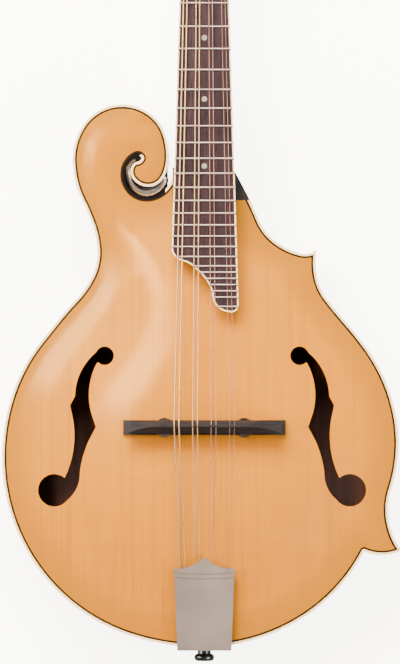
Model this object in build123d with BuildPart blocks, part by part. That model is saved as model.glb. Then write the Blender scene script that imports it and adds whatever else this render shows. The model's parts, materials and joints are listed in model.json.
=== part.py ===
from build123d import *

import cmath
import math
import os

import numpy as np

# F-style mandolin, lying on its back. +Z points out of the soundboard, +Y towards the
# headstock and +X to the treble side. The origin is the lowest point of the carved back.

# ---- Driving dimensions (mm) ----
SCALE_LENGTH = 352.4  # saddle line (Y = 0) to nut
ARCH = 15.5  # how far each carved plate rises above its edge
PLATE_EDGE = 4.5  # plate thickness at the binding
PLATE_MIDDLE = 4.5  # plate thickness at the crown
RIB_HEIGHT = 39.0
RIB_THICKNESS = 2.0
BACK_EDGE = 15.0  # height of the back's outer edge above the table
BACK_JOINT = BACK_EDGE + PLATE_EDGE
TOP_JOINT = BACK_JOINT + RIB_HEIGHT
TOP_EDGE = TOP_JOINT + PLATE_EDGE
TOP_CROWN = TOP_EDGE + ARCH
BINDING = 1.5
PURFLING = 1.25
LINING = 5.5
SLOT_FLOOR = 46.0  # the ribs are closed across the scroll's slot up to this height
NECK_END = 161.0  # where the heel meets the body
SHOULDER = 140.4  # where the soundboard gives way to the neck's shoulder
BODY_END = -140.1

NUT_WIDTH = 26.0
NUT_LENGTH = 4.6
BOARD_TAPER = 0.061  # growth of the fingerboard's width per mm towards the bridge
BOARD_THICKNESS = 5.5
BOARD_BINDING = 0.9
NECK_PITCH = 4.8  # degrees
FRET_HEIGHT = 1.0
FRET_WIDTH = 1.2
DOT_RADIUS = 1.7
NUT_ACTION = 1.6  # string above the fingerboard at the nut
SADDLE_TOP = 95.5  # string height at the saddle
SADDLE_ACTION = 3.6  # string above the fingerboard's plane, at the saddle

HEAD_LENGTH = 165.0
HEAD_THICKNESS = 15.0
VENEER = 2.0
POST_X = 18.0
FIRST_POST = 32.0
POST_PITCH = 23.0
PLATE_THICKNESS = 1.2
GEAR_TEETH = 14
GEAR_RADIUS = 4.8
WORM_RADIUS = 2.4
WORM_PITCH = 1.885
WORM_OFFSET = GEAR_RADIUS + WORM_RADIUS + 0.3  # worm axis to post axis

BRIDGE_LENGTH = 101.6
BRIDGE_DEPTH = 9.2
BRIDGE_Y = -2.1
WHEEL_X = 25.0
WHEEL_DIAMETER = 12.4
WHEEL_THICKNESS = 2.4
STUD_DIAMETER = 4.0
SADDLE_FOOT = 87.4  # underside of the saddle

COVER_TILT = 10.8  # degrees
COVER_SHEET = 1.0
COVER_REAR = -142.2
COVER_REAR_TOP = 68.6

TENON_HALF = 11.0
TENON_END = 146.0
TENON_BOTTOM = 24.0
BLOCK_START = 120.0
LINING_HEIGHT = 7.0
BAR_X = 30.0  # tone bars, at their middle
BAR_Y = 2.0
BAR_LENGTH = 190.0
BAR_WIDTH = 6.0
BAR_HEIGHT = 8.0
BAR_ANGLE = 4.0

POST_HOLE = 3.3
BUSHING_RADIUS = 4.4
BUSHING_DEPTH = 6.0
SCREW_RADIUS = 1.0
SCREW_LENGTH = 7.0
ROD_RADIUS = 2.5
ROD_DEPTH = 13.0  # truss rod's axis below the fingerboard's surface
PIN_LEVEL = 39.0  # height of the end pin's axis
PIN_SHANK = 4.0

NUT_SEAT = 8.0  # how far the nut reaches below the fingerboard's surface
NECK_DEPTH = 13.0  # below the fingerboard, at the nut
DEPTH_TAPER = 0.012
HEEL_START = 203.0
HEEL_DEPTH = 41.0  # how much deeper the heel is where it meets the body
RISER = 4.0
RISER_START = 125.0
RISER_HALF = 16.5
ROD_LENGTH = 185.0
TUNER_PLATE_Y = 68.5
TUNER_PLATE_LENGTH = 97.0
SHAFT_RADIUS = 1.4
SHAFT_END = 41.0
BUTTON_START = 37.5
POST_RADIUS = 3.0
POST_TOP = 13.0
WAIST_LOW = 4.0
WAIST_HEIGHT = 5.0
WAIST_RADIUS = 2.2
STUD_LOW = 79.5
STUD_TOP = 90.5
BASE_TOP = 83.5
HOOK_AT = 46.5
STRING_LEVEL = -2.6
FLOOR_FRONT = 52.5
FLANGE_BACK = 140.3
FLANGE_LOW = 30.0
FLANGE_TOP = 64.4
PIN_NECK = 4.2

COURSES = ["g", "d", "a", "e"]
GAUGES = [0.9, 0.66, 0.4, 0.28]  # string diameters

# ---- Planes and lines that follow from them ----
SLOPE = math.tan(math.radians(NECK_PITCH))
BOARD_AT_SADDLE = SADDLE_TOP - SADDLE_ACTION
BOARD_AT_NUT = BOARD_AT_SADDLE - SCALE_LENGTH * SLOPE
BOARD_DROP = BOARD_THICKNESS / math.cos(math.radians(NECK_PITCH))
BOARD = Plane((0, SCALE_LENGTH, BOARD_AT_NUT)).rotated((-NECK_PITCH, 0, 0))

HEAD_FACE = BOARD_AT_NUT - BOARD_DROP + 1.0
HEAD_REACH = math.hypot(HEAD_LENGTH, HEAD_THICKNESS)
# The headstock leans back just enough for its tip to stand on the table with the back.
HEAD_PITCH = math.degrees(
    math.asin(HEAD_FACE / HEAD_REACH) - math.atan(HEAD_THICKNESS / HEAD_LENGTH)
)
HEAD = Plane((0, SCALE_LENGTH, HEAD_FACE)).rotated((-HEAD_PITCH, 0, 0))
HEAD_BACK = HEAD.offset(-HEAD_THICKNESS)
GEAR_LEVEL = -HEAD_THICKNESS - PLATE_THICKNESS - 3.2  # worm axis, from the headstock's face
COVER = Plane((0, COVER_REAR, COVER_REAR_TOP)).rotated((COVER_TILT, 0, 0))

# Outer edge of the binding, seen from the front. Each row is one gentle bend: the point
# half-way along it and its end. Bends that meet almost in line are blended.
START = (17.8, 161.0)
BENDS = [
    ((25.3, 147.2), (34.4, 127.8)),  # treble cutaway
    ((44.6, 114.2), (60.0, 107.2)),
    ((65.5, 106.9), (70.6, 109.6)),  # tip of the upper point
    ((70.8, 93.5), (77.2, 78.2)),
    ((91.0, 62.0), (103.3, 45.8)),
    ((120.0, 4.0), (117.3, -41.2)),  # treble bout
    ((115.0, -56.0), (118.8, -70.9)),
    ((121.1, -75.6), (124.1, -79.4)),  # tip of the lower point
    ((111.0, -82.4), (100.3, -80.0)),
    ((66.5, -119.0), (0.5, BODY_END)),  # tail
    ((-50.3, -131.6), (-88.9, -108.1)),
    ((-115.4, -71.3), (-127.0, -18.8)),  # bass bout
    ((-119.4, 20.6), (-102.2, 52.2)),
    ((-91.5, 64.8), (-80.6, 78.0)),
    ((-70.2, 92.5), (-67.1, 110.5)),  # waist
    ((-70.6, 126.6), (-77.2, 141.3)),
    ((-80.8, 152.0), (-82.7, 163.9)),
    ((-81.3, 176.4), (-76.6, 186.9)),  # scroll
    ((-56.2, 200.3), (-32.4, 193.6)),
    ((-23.6, 180.6), (-22.3, 168.0)),
    ((-22.8, 160.8), (-26.0, 154.0)),
    ((-35.4, 148.4), (-44.9, 154.0)),  # inside the curl
    ((-46.4, 160.0), (-42.9, 164.4)),
    ((-40.0, 165.6), (-39.3, 166.8)),
    ((-40.0, 168.0), (-42.9, 168.4)),
    ((-50.2, 159.5), (-47.0, 147.6)),
    ((-35.8, 141.2), (-25.2, 146.6)),
    ((-21.3, 150.8), (-19.9, 157.0)),
]
CORNER = math.radians(25)  # a sharper meeting of two bends stays a corner

os.makedirs("parts", exist_ok=True)


def save(part, name):
    part.label = name
    export_step(part, f"parts/{name}.step")


# ---- Body outline ----
def smooth_bends():
    """The bends as complex numbers: start, end, and the direction at each of them."""
    spans = []
    start = complex(*START)
    for middle, end in BENDS:
        middle, end = complex(*middle), complex(*end)
        half_turn = cmath.phase((end - middle) / (middle - start))
        chord = (end - start) / abs(end - start)
        leave = chord * cmath.exp(-1j * half_turn)
        spans.append([start, end, leave, chord * cmath.exp(1j * half_turn)])
        start = end
    for span, following in zip(spans, spans[1:]):
        if abs(cmath.phase(following[2] / span[3])) < CORNER:
            shared = span[3] + following[2]
            span[3] = following[2] = shared / abs(shared)
    return spans


def arc_joint(start, end, leave, arrive):
    """Where two arcs meet that leave and arrive in the given directions."""

    def dot(a, b):
        return (a * b.conjugate()).real

    chord = end - start
    spread = 2 * (1 - dot(leave, arrive))
    if spread < 1e-6:
        reach = abs(chord) ** 2 / (4 * dot(chord, arrive))
    else:
        along = dot(chord, leave + arrive)
        reach = (math.sqrt(along**2 + spread * abs(chord) ** 2) - along) / spread
    return (start + reach * leave + end - reach * arrive) / 2


def pair(point):
    return (point.real, point.imag)


def body_outline():
    with BuildSketch() as outline:
        with BuildLine():
            for start, end, leave, arrive in smooth_bends():
                joint = pair(arc_joint(start, end, leave, arrive))
                first = TangentArc(pair(start), joint, tangent=pair(leave))
                TangentArc(joint, pair(end), tangent=first % 1)
            bass_end = BENDS[-1][1]
            Polyline(bass_end, (bass_end[0], NECK_END), START)
        make_face()
    return outline.sketch


def inset(face, amount):
    return offset(face, amount=-amount, kind=Kind.ARC)


def region(x_low, x_high, y_low, y_high):
    with BuildSketch() as area:
        with Locations(((x_low + x_high) / 2, (y_low + y_high) / 2)):
            Rectangle(x_high - x_low, y_high - y_low)
    return area.sketch


BODY = body_outline()
BOUND = inset(BODY, BINDING)
WOOD = inset(BODY, BINDING + PURFLING)
INSIDE = inset(BODY, RIB_THICKNESS)
LINED = inset(BODY, RIB_THICKNESS + LINING)
NECK_GAP = region(-19.9, 60, SHOULDER, 170)  # the soundboard leaves this to the neck
NECK_FACE = region(-18, 16, 150, NECK_END)  # where the heel bears on the head block
TENON = region(-TENON_HALF, TENON_HALF, TENON_END, NECK_END)
TAIL_REGION = region(-28, 28, -160, -120)


# ---- Carved surfaces ----
GRID = 8.0
REACH = 77.0  # distance from the edge at which a carved plate is level
LEDGE = -6.0  # where the hollow side starts to rise, which leaves a flat gluing ledge
LEDGE_DEPTH = 1.5


def outline_points():
    """Points about 1 mm apart along the outline, as complex numbers."""
    points = []
    for edge in BODY.wire().order_edges():
        count = max(3, round(edge.length))
        steps = np.arange(count) / count
        points += [complex(p.X, p.Y) for p in edge.positions(steps)]
    return np.array(points)


def inward_distance(x, y):
    """A smooth distance from the outline: exact near an edge, rounded off inside."""
    corners = outline_points()
    following = np.roll(corners, -1)
    steps = following - corners
    middles = (corners + following) / 2
    spots = (x + 1j * y).ravel()
    closeness = np.zeros(spots.size)
    crossings = np.zeros(spots.size, dtype=int)
    for corner, step, middle in zip(corners, steps, middles):
        closeness += abs(step) / np.maximum(abs(spots - middle), 0.3) ** 4
        if step.imag:
            along = (spots.imag - corner.imag) / step.imag
            hit = corner.real + along * step.real
            crossings += (along >= 0) & (along < 1) & (hit > spots.real)
    distance = (math.pi / 2 / closeness) ** (1 / 3)
    return np.where(crossings % 2, distance, 0.0).reshape(x.shape)


GRID_X, GRID_Y = np.meshgrid(
    np.arange(-136, 136, GRID), np.arange(-152, 212, GRID), indexing="ij"
)
INWARD = inward_distance(GRID_X, GRID_Y)


def outer_rise():
    return ARCH * np.sin(math.pi / 2 * np.minimum(INWARD / REACH, 1)) ** 2


def inner_rise():
    share = np.clip((INWARD - LEDGE) / (REACH - LEDGE), 0, 1)
    hollow = ARCH + PLATE_EDGE - PLATE_MIDDLE + LEDGE_DEPTH
    return hollow * np.sin(math.pi / 2 * share) ** 2 - LEDGE_DEPTH


def carved_solid(heights, thickness):
    """The space between a carved surface and the same surface moved down or up."""
    rows = [
        [Vector(x, y, z) for x, y, z in zip(*columns)]
        for columns in zip(GRID_X.tolist(), GRID_Y.tolist(), heights.tolist())
    ]
    surface = Face.make_surface_from_array_of_points(rows, tol=0.02)
    return extrude(surface, amount=thickness, dir=(0, 0, 1))


UNDER_TOP = carved_solid(TOP_EDGE + outer_rise() - 60, 60)
UNDER_TOP_INSIDE = carved_solid(TOP_JOINT + inner_rise() - 60, 60)
ABOVE_BACK = carved_solid(BACK_EDGE - outer_rise(), 60)
ABOVE_BACK_INSIDE = carved_solid(BACK_JOINT - inner_rise(), 60)


def discs(plane, spots, radius, height):
    """Equal round columns standing on a plane."""
    with BuildPart() as columns:
        with BuildSketch(plane):
            with Locations(*spots):
                Circle(radius)
        extrude(amount=height)
    return columns.part


TAIL_SCREWS = [(-8.5, 50.0), (0, 54.5), (8.5, 50.0)]
tailpiece_screws = discs(Plane.XZ.offset(FLANGE_BACK + 1), TAIL_SCREWS, 1.9, 0.9) + discs(
    Plane.XZ.offset(FLANGE_BACK - 9), TAIL_SCREWS, SCREW_RADIUS, 10
)
save(tailpiece_screws, "tailpiece_screws")


# ---- Strings ----
PAIRS = [(course - 1.5, side - 0.5) for course in range(4) for side in range(2)]
TAIL_XS = [course * 8.9 + side * 3.4 for course, side in PAIRS]
SADDLE_XS = [course * 11.6 + side * 3.0 for course, side in PAIRS]
NUT_XS = [course * 6.65 + side * 1.95 for course, side in PAIRS]
# G and E go to the posts beside the nut, D and A to the far ones.
STRING_POSTS = [1, 2, 3, 4, 8, 7, 6, 5]


def string_solid(index, radius):
    """One string from its hook over the saddle and the nut to the inner side of its post."""
    post_side = -1 if index < 4 else 1
    post_row = (STRING_POSTS[index] - 1) % 4
    at_post = (
        post_side * (POST_X - WAIST_RADIUS - 0.6),
        FIRST_POST + POST_PITCH * post_row,
        WAIST_LOW + 2,
    )
    route = [
        COVER.from_local_coords((TAIL_XS[index], HOOK_AT + 1.4, STRING_LEVEL)),
        Vector(SADDLE_XS[index], 0, SADDLE_TOP),
        BOARD.from_local_coords((NUT_XS[index], NUT_LENGTH - 0.1, NUT_ACTION)),
        HEAD.from_local_coords(at_post),
    ]
    with BuildPart() as string:
        with BuildLine():
            path = FilletPolyline(*route, radius=2.0)
        with BuildSketch(Plane(route[0], z_dir=route[1] - route[0])):
            Circle(radius)
        sweep(path=path)
    return string.part


grooves = [string_solid(index, GAUGES[index // 2] / 2 + 0.04) for index in range(8)]
for course, name in enumerate(COURSES):
    with BuildPart() as strings:
        for index in (2 * course, 2 * course + 1):
            add(string_solid(index, GAUGES[course] / 2))
    save(strings.part, f"strings_{name}")


def rod_bar(radius, start, end):
    """A round bar along the truss rod's line, from start to end past the nut."""
    with BuildPart() as bar:
        with BuildSketch(Plane(BOARD.from_local_coords((0, start, -ROD_DEPTH)), z_dir=BOARD.y_dir)):
            Circle(radius)
        extrude(amount=end - start)
    return bar.part


# ---- Sound box ----
def f_hole():
    """The treble f-hole: two eyes joined by a stem with a nick on each side."""
    with BuildSketch() as hole:
        with BuildLine():
            ThreePointArc((59.7, 48.6), (71.0, 38.8), (78.3, 17.4))
            Polyline((78.3, 17.4), (81.4, 11.7), (79.5, 3.0))
            ThreePointArc((79.5, 3.0), (78.9, -13.0), (84.5, -33.3))
            Polyline((84.5, -33.3), (91.3, -41.6), (90.6, -51.7))
            ThreePointArc((90.6, -51.7), (80.9, -45.6), (75.2, -30.0))
            ThreePointArc((75.2, -30.0), (73.0, -19.5), (69.8, -10.7))
            Polyline((69.8, -10.7), (65.1, -1.8), (68.1, 7.0))
            ThreePointArc((68.1, 7.0), (69.4, 22.0), (64.7, 37.9))
            Polyline((64.7, 37.9), (59.7, 42.8), (59.7, 48.6))
        make_face()
        with Locations((59.7, 42.8)):
            Circle(5.8)
        with Locations((91.3, -41.6)):
            Circle(10.2)
    return hole.sketch


HOLE_MIDDLE = Plane.YZ.offset(-1.4)  # the f-holes mirror each other across this plane

with BuildPart() as top_plate:
    with BuildSketch(Plane.XY.offset(TOP_JOINT)):
        add(WOOD)
        add(NECK_GAP, mode=Mode.SUBTRACT)
    extrude(amount=PLATE_EDGE + ARCH + 1)
    add(UNDER_TOP, mode=Mode.INTERSECT)
    add(UNDER_TOP_INSIDE, mode=Mode.SUBTRACT)
    with BuildSketch(Plane.XY.offset(TOP_JOINT - 1)):
        add(f_hole())
        mirror(f_hole(), about=HOLE_MIDDLE)
    extrude(amount=PLATE_EDGE + ARCH + 3, mode=Mode.SUBTRACT)
save(top_plate.part, "top_plate")

with BuildPart() as back_plate:
    with BuildSketch(Plane.XY.offset(-1)):
        add(WOOD)
    extrude(amount=BACK_JOINT + 1)
    add(ABOVE_BACK, mode=Mode.INTERSECT)
    add(ABOVE_BACK_INSIDE, mode=Mode.SUBTRACT)
save(back_plate.part, "back_plate")


with BuildPart() as tone_bars:
    with BuildSketch(Plane.XY.offset(TOP_JOINT)):
        for side in (-1, 1):
            with Locations(Location((side * BAR_X, BAR_Y, 0), (0, 0, side * BAR_ANGLE))):
                Rectangle(BAR_WIDTH, BAR_LENGTH)
    extrude(amount=ARCH + PLATE_EDGE)
    add(UNDER_TOP_INSIDE, mode=Mode.INTERSECT)
    add(UNDER_TOP_INSIDE.moved(Pos(0, 0, -BAR_HEIGHT)), mode=Mode.SUBTRACT)
save(tone_bars.part, "tone_bars")

with BuildPart() as pin_hole:
    with BuildSketch(Plane.XZ.offset(-BODY_END - 25)):
        with Locations((0, PIN_LEVEL)):
            Circle(PIN_SHANK)
    extrude(amount=40)

with BuildPart() as head_block:
    with BuildSketch(Plane.XY.offset(BACK_JOINT)):
        add(INSIDE)
        add(region(-140, 140, -160, BLOCK_START), mode=Mode.SUBTRACT)
        add(NECK_FACE)
    extrude(amount=RIB_HEIGHT)
    with BuildSketch(Plane.XY.offset(TENON_BOTTOM)):
        add(TENON)
    extrude(amount=RIB_HEIGHT, mode=Mode.SUBTRACT)
save(head_block.part, "head_block")

with BuildPart() as tail_block:
    with BuildSketch(Plane.XY.offset(BACK_JOINT)):
        add(INSIDE)
        add(TAIL_REGION, mode=Mode.INTERSECT)
    extrude(amount=RIB_HEIGHT)
    add(pin_hole.part, mode=Mode.SUBTRACT)
    add(tailpiece_screws, mode=Mode.SUBTRACT)
save(tail_block.part, "tail_block")

with BuildPart() as rim:
    with BuildSketch(Plane.XY.offset(BACK_JOINT)):
        add(BODY)
        add(INSIDE, mode=Mode.SUBTRACT)
        add(NECK_FACE, mode=Mode.SUBTRACT)
    extrude(amount=RIB_HEIGHT)
    with BuildSketch(Plane.XY.offset(BACK_JOINT)):
        add(region(-55, -23, 142, 169))
        add(BODY, mode=Mode.SUBTRACT)
    extrude(amount=SLOT_FLOOR - BACK_JOINT)
    add(pin_hole.part, mode=Mode.SUBTRACT)
    add(tailpiece_screws, mode=Mode.SUBTRACT)
save(rim.part, "rim")

with BuildPart() as linings:
    for level in (BACK_JOINT, TOP_JOINT - LINING_HEIGHT):
        with BuildSketch(Plane.XY.offset(level)):
            add(INSIDE)
            add(LINED, mode=Mode.SUBTRACT)
            add(region(-140, 140, BLOCK_START, 220), mode=Mode.SUBTRACT)
            add(TAIL_REGION, mode=Mode.SUBTRACT)
        extrude(amount=LINING_HEIGHT)
save(linings.part, "linings")


def edge_band(outer, inner):
    """A strip laid round both plates' edges, left out at the neck's shoulder on top."""
    with BuildPart() as band:
        with BuildSketch(Plane.XY.offset(TOP_JOINT)):
            add(outer)
            add(inner, mode=Mode.SUBTRACT)
            add(NECK_GAP, mode=Mode.SUBTRACT)
        extrude(amount=PLATE_EDGE)
        with BuildSketch(Plane.XY.offset(BACK_EDGE)):
            add(outer)
            add(inner, mode=Mode.SUBTRACT)
        extrude(amount=PLATE_EDGE)
    return band.part


save(edge_band(BODY, BOUND), "body_binding")
save(edge_band(BOUND, WOOD), "body_purfling")


# ---- Neck and headstock ----
def under_board(y):
    """Height of the fingerboard's underside."""
    return BOARD_AT_NUT + (SCALE_LENGTH - y) * SLOPE - BOARD_DROP


def board_width(y):
    return NUT_WIDTH + (SCALE_LENGTH - y) * BOARD_TAPER


def neck_section(y):
    """Half an ellipse under the fingerboard, deepening into the heel near the body."""
    half = board_width(y) / 2
    heel = max(0, (HEEL_START - y) / (HEEL_START - NECK_END)) ** 2.6
    depth = NECK_DEPTH + (SCALE_LENGTH - y) * DEPTH_TAPER + HEEL_DEPTH * heel
    with BuildSketch() as section:
        with BuildLine():
            EllipticalCenterArc((0, 0), half, depth, start_angle=0, arc_size=180)
            Line((-half, 0), (half, 0))
        make_face()
    return section.sketch


def head_outline(start):
    """The headstock from the front, in its own plane: waisted sides and a round crest."""
    with BuildSketch() as outline:
        with BuildLine():
            Polyline((0, start), (13.0, start), (13.2, 6.0))
            ThreePointArc((13.2, 6.0), (17.5, 16.5), (28.5, 21.0))
            ThreePointArc((28.5, 21.0), (27.6, 62.0), (31.5, 104.0))
            ThreePointArc((31.5, 104.0), (37.0, 112.5), (33.5, 121.5))
            ThreePointArc((33.5, 121.5), (25.5, 125.5), (21.0, 133.5))
            ThreePointArc((21.0, 133.5), (15.5, 155.5), (0, HEAD_LENGTH))
            mirror(about=Plane.YZ)
        make_face()
    return outline.sketch


# Tuning posts: bass side first, from the nut outwards.
POSTS = [(side * POST_X, FIRST_POST + POST_PITCH * row) for side in (-1, 1) for row in range(4)]
COVER_SCREWS = [(-6.8, 9.6), (6.8, 9.6), (0, 33.0)]
PLATE_SCREWS = [(side * POST_X, FIRST_POST - 8 + 89.5 * end) for side in (-1, 1) for end in (0, 1)]


HEAD_UNDER = HEAD_BACK.rotated((180, 0, 0))  # faces away from the headstock's back
UNDER_SCREWS = [(x, -y) for x, y in PLATE_SCREWS]
with BuildPart() as headstock_screws:
    add(discs(HEAD.offset(2.0), COVER_SCREWS, 1.9, 0.9))
    add(discs(HEAD.offset(2.0 - SCREW_LENGTH), COVER_SCREWS, SCREW_RADIUS, SCREW_LENGTH))
    add(discs(HEAD_UNDER.offset(PLATE_THICKNESS), UNDER_SCREWS, 1.9, 0.9))
    add(discs(HEAD_UNDER.offset(PLATE_THICKNESS - SCREW_LENGTH), UNDER_SCREWS, SCREW_RADIUS,
              SCREW_LENGTH))
save(headstock_screws.part, "headstock_screws")

with BuildPart() as head_holes:
    add(discs(HEAD_BACK.offset(-1), POSTS, POST_HOLE, HEAD_THICKNESS + 2))
    add(discs(HEAD.offset(-BUSHING_DEPTH), POSTS, BUSHING_RADIUS, BUSHING_DEPTH + 1))
    add(headstock_screws.part)
    with BuildSketch(HEAD.offset(-11)):
        with Locations((0, 18)):
            RectangleRounded(9, 24, 2)
    extrude(amount=12)

with BuildPart() as nut:
    with BuildSketch(BOARD.offset(-NUT_SEAT)):
        with Locations((0, NUT_LENGTH / 2)):
            Rectangle(NUT_WIDTH, NUT_LENGTH)
    extrude(amount=NUT_SEAT + NUT_ACTION + 0.1)
    nut_block = nut.part
    add(grooves, mode=Mode.SUBTRACT)
save(nut.part, "nut")

with BuildPart() as neck:
    for stations in (np.linspace(SCALE_LENGTH, HEEL_START, 5), np.linspace(HEEL_START, NECK_END, 8)):
        for y in stations.tolist():
            with BuildSketch(Plane((0, y, under_board(y)), x_dir=(1, 0, 0), z_dir=(0, 1, 0))):
                add(neck_section(y))
        loft()
    with BuildSketch(HEAD_BACK):
        add(head_outline(-4))
    extrude(amount=HEAD_THICKNESS - VENEER)
    with BuildSketch(Plane.YZ.offset(-RISER_HALF)):
        Polygon(
            (RISER_START, under_board(RISER_START)),
            (RISER_START, under_board(RISER_START) - RISER),
            (SHOULDER, under_board(SHOULDER) - RISER),
            (SHOULDER, TOP_EDGE),
            (NECK_END + 1, TOP_EDGE),
            (NECK_END + 1, under_board(NECK_END + 1)),
            align=None,
        )
    extrude(amount=2 * RISER_HALF)
    with BuildSketch(Plane.XY.offset(TENON_BOTTOM)):
        add(TENON)
    extrude(amount=TOP_EDGE + 1 - TENON_BOTTOM)
    add(nut_block, mode=Mode.SUBTRACT)
    add(head_holes.part, mode=Mode.SUBTRACT)
    add(rod_bar(ROD_RADIUS, -ROD_LENGTH, 40), mode=Mode.SUBTRACT)
save(neck.part, "neck")
save(rod_bar(ROD_RADIUS, -ROD_LENGTH, 14), "truss_rod")

with BuildPart() as truss_rod_nut:
    with BuildSketch(Plane(BOARD.from_local_coords((0, 9, -ROD_DEPTH)), z_dir=BOARD.y_dir)):
        RegularPolygon(3.6, 6)
        Circle(ROD_RADIUS + 0.05, mode=Mode.SUBTRACT)
    extrude(amount=10)
save(truss_rod_nut.part, "truss_rod_nut")

with BuildPart() as truss_rod_cover:
    with BuildSketch(HEAD):
        with BuildLine():
            Line((-9, 6.5), (9, 6.5))
            ThreePointArc((9, 6.5), (7.9, 17), (4.6, 27))
            ThreePointArc((4.6, 27), (3.6, 33.4), (0, 37))
            ThreePointArc((0, 37), (-3.6, 33.4), (-4.6, 27))
            ThreePointArc((-4.6, 27), (-7.9, 17), (-9, 6.5))
        make_face()
    extrude(amount=2)
    fillet(truss_rod_cover.faces().sort_by(Axis(HEAD.origin, HEAD.z_dir))[-1].edges(), 0.5)
    add(headstock_screws.part, mode=Mode.SUBTRACT)
save(truss_rod_cover.part, "truss_rod_cover")

with BuildPart() as head_veneer:
    with BuildSketch(HEAD.offset(-VENEER)):
        add(head_outline(5.2))
    extrude(amount=VENEER)
    add(head_holes.part, mode=Mode.SUBTRACT)
save(head_veneer.part, "head_veneer")

with BuildPart() as neck_shoulder_cap:
    with BuildSketch(Plane.XY.offset(TOP_JOINT)):
        add(BODY)
        add(NECK_GAP, mode=Mode.INTERSECT)
        add(TENON, mode=Mode.SUBTRACT)
    extrude(amount=PLATE_EDGE)
save(neck_shoulder_cap.part, "neck_shoulder_cap")


# ---- Fingerboard ----
def board_outline(nut_end):
    """The fingerboard from the front, with its scooped treble extension."""
    bass, treble = board_width(108.8) / 2, board_width(74.2) / 2
    with BuildSketch() as outline:
        with BuildLine():
            wide = board_width(nut_end) / 2
            Polyline((-bass, 108.8), (-wide, nut_end), (wide, nut_end), (treble, 74.2))
            ThreePointArc((treble, 74.2), (19.8, 71.0), (15.4, 70.2))
            ThreePointArc((15.4, 70.2), (8.4, 73.2), (4.9, 82.5))
            ThreePointArc((4.9, 82.5), (1.0, 90.4), (-5.4, 97.2))
            ThreePointArc((-5.4, 97.2), (-9.0, 100.3), (-13.4, 102.1))
            ThreePointArc((-13.4, 102.1), (-18.0, 104.6), (-bass, 108.8))
        make_face()
    return outline.sketch


def on_board(y):
    """Distance along the fingerboard, from the nut, of a place at Y."""
    return (y - SCALE_LENGTH) / math.cos(math.radians(NECK_PITCH))


def board_slab(outline, low, high):
    """Upright walls on an outline, cut off at two heights from the playing surface."""
    with BuildPart() as slab:
        with BuildSketch(Plane.XY.offset(BOARD_AT_NUT - 20)):
            add(outline)
        extrude(amount=60)
        with BuildSketch(BOARD.offset(low)):
            with Locations((0, on_board(200))):
                Rectangle(80, 400)
        extrude(amount=high - low, mode=Mode.INTERSECT)
    return slab.part


PLAYED = board_outline(SCALE_LENGTH)
BETWEEN_BINDING = inset(board_outline(SCALE_LENGTH + BOARD_BINDING), BOARD_BINDING)
EVEN_FRETS = 22
FRETS = [SCALE_LENGTH * 2 ** (-n / 12) for n in range(1, EVEN_FRETS + 1)]
FRETS += [FRETS[-1] - 3.9 * step for step in (1, 2, 3, 4, 5, 6.5)]
MARKED = [3, 5, 7, 10, 14]  # frets with a marker before them

with BuildPart() as position_dots:
    with BuildSketch(BOARD.offset(-0.8)):
        for n in MARKED:
            with Locations((0, on_board((FRETS[n - 2] + FRETS[n - 1]) / 2))):
                Circle(DOT_RADIUS)
    extrude(amount=0.8)
save(position_dots.part, "position_dots")

with BuildPart() as fingerboard:
    add(board_slab(BETWEEN_BINDING, -BOARD_THICKNESS, 0))
    add(position_dots.part, mode=Mode.SUBTRACT)
    add(nut_block, mode=Mode.SUBTRACT)
save(fingerboard.part, "fingerboard")

with BuildPart() as fingerboard_binding:
    add(board_slab(PLAYED, -BOARD_THICKNESS, 0))
    add(board_slab(BETWEEN_BINDING, -BOARD_THICKNESS - 1, 1), mode=Mode.SUBTRACT)
    add(nut_block, mode=Mode.SUBTRACT)
save(fingerboard_binding.part, "fingerboard_binding")

with BuildPart() as frets:
    for y in FRETS:
        crown = Plane(BOARD.from_local_coords((-30, on_board(y), 0)), BOARD.y_dir, (1, 0, 0))
        with BuildSketch(crown):
            with BuildLine():
                ThreePointArc((-FRET_WIDTH / 2, 0), (0, FRET_HEIGHT), (FRET_WIDTH / 2, 0))
                Line((FRET_WIDTH / 2, 0), (-FRET_WIDTH / 2, 0))
            make_face()
        extrude(amount=60)
    add(board_slab(inset(PLAYED, 0.2), -1, 2), mode=Mode.INTERSECT)
save(frets.part, "frets")

# ---- Tuning machines ----
with BuildPart() as tuner_plates:
    with BuildSketch(HEAD_BACK.offset(-PLATE_THICKNESS)):
        for side in (-1, 1):
            with Locations((side * POST_X, TUNER_PLATE_Y)):
                RectangleRounded(19, TUNER_PLATE_LENGTH, 4)
        with Locations(*POSTS):
            Circle(POST_HOLE, mode=Mode.SUBTRACT)
    extrude(amount=PLATE_THICKNESS)
    lug_foot = GEAR_LEVEL - 2.8
    with BuildSketch(HEAD.offset(lug_foot)):
        for x, y in POSTS:
            with Locations((x - 4.7, y + WORM_OFFSET), (x + 4.7, y + WORM_OFFSET)):
                Rectangle(1.8, 5.2)
    extrude(amount=-HEAD_THICKNESS - PLATE_THICKNESS - lug_foot)
    for y in range(4):
        worm_line = (-40, POSTS[y][1] + WORM_OFFSET, GEAR_LEVEL)
        with BuildSketch(Plane(HEAD.from_local_coords(worm_line), z_dir=(1, 0, 0))):
            Circle(SHAFT_RADIUS + 0.1)
        extrude(amount=80, mode=Mode.SUBTRACT)
    add(headstock_screws.part, mode=Mode.SUBTRACT)
save(tuner_plates.part, "tuner_plates")

with BuildPart() as tuner_bushings:
    with BuildSketch(HEAD.offset(-BUSHING_DEPTH)):
        with Locations(*POSTS):
            Circle(BUSHING_RADIUS)
            Circle(POST_RADIUS + 0.1, mode=Mode.SUBTRACT)
    extrude(amount=BUSHING_DEPTH)
    with BuildSketch(HEAD):
        with Locations(*POSTS):
            Circle(5.6)
            Circle(POST_RADIUS + 0.1, mode=Mode.SUBTRACT)
    extrude(amount=1.2)
save(tuner_bushings.part, "tuner_bushings")


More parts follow.
